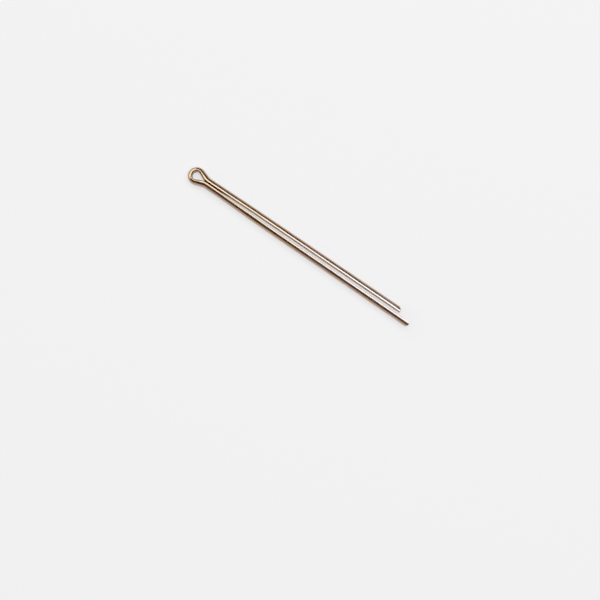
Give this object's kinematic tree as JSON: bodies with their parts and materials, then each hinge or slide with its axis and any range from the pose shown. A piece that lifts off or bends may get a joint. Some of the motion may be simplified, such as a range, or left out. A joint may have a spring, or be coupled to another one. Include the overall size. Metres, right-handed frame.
{
  "type": "split pin",
  "caption": "Split pin for retaining brake pads: D-section wire bent to an eye with two long legs, one longer than the other.",
  "frame": {"origin": "on the shank's axis where the legs leave the bends under the eye, halfway between the two flats and halfway up the wire", "axes": "+X along the legs towards their tips, +Y towards the short leg, +Z square to the plane that the pin is bent in, which is up as it lies"},
  "size_m": [0.0801, 0.0054, 0.003],
  "materials": {
    "passivated_steel": "zinc plated and yellow passivated, bright, with fine drawing lines along the wire"
  },
  "bodies": {
    "root": {"split_pin": "passivated_steel"}
  },
  "joints": []
}
